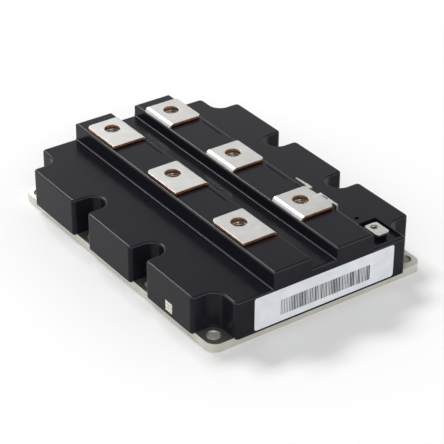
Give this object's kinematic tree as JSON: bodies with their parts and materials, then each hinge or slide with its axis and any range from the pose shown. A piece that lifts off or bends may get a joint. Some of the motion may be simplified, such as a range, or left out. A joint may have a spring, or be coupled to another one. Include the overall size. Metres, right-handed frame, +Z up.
{
  "type": "igbt module",
  "caption": "High-power IGBT module: metal base plate with fixing holes, dark moulded housing with two long ridges, rows of folded screw terminals and a small control terminal.",
  "frame": {"origin": "centre of the base plate's underside", "axes": "+X along the long side towards the control terminals, +Y across towards the emitter row, +Z up out of the mounting face"},
  "size_m": [0.19, 0.14, 0.038],
  "materials": {
    "plate_metal": "nickel-plated satin",
    "housing_plastic": "fine matt moulding",
    "seal_silicone": "cured silicone bead",
    "screw_steel": "zinc-plated",
    "copper": "bare copper sheet",
    "ceramic_white": "sintered, unglazed",
    "chip_silicon": "metallised silicon",
    "bond_aluminium": "bright ribbon",
    "gel_clear": "clear soft gel",
    "board_green": "solder mask",
    "resistor_black": "moulded chip resistor",
    "tin_plate": "satin nickel-plated copper",
    "nut_steel": "passivated",
    "label_film": "smooth white film"
  },
  "bodies": {
    "root": {"base_plate": "plate_metal", "housing": "housing_plastic", "seal_bead": "seal_silicone", "housing_screws": "screw_steel", "solder_copper": "copper", "ceramic_substrates": "ceramic_white", "circuit_copper": "copper", "igbt_chips": "chip_silicon", "diode_chips": "chip_silicon", "bond_ribbons": "bond_aluminium", "silicone_gel": "gel_clear", "gate_board": "board_green", "gate_resistors": "resistor_black", "gate_pins": "tin_plate", "board_screws": "screw_steel", "collector_bar_1": "tin_plate", "collector_bar_2": "tin_plate", "collector_bar_3": "tin_plate", "emitter_bar_1": "tin_plate", "emitter_bar_2": "tin_plate", "emitter_bar_3": "tin_plate", "main_nuts": "nut_steel", "gate_terminal": "tin_plate", "sense_terminal": "tin_plate", "control_nuts": "nut_steel", "sense_strip": "tin_plate", "label": "label_film"}
  },
  "joints": []
}
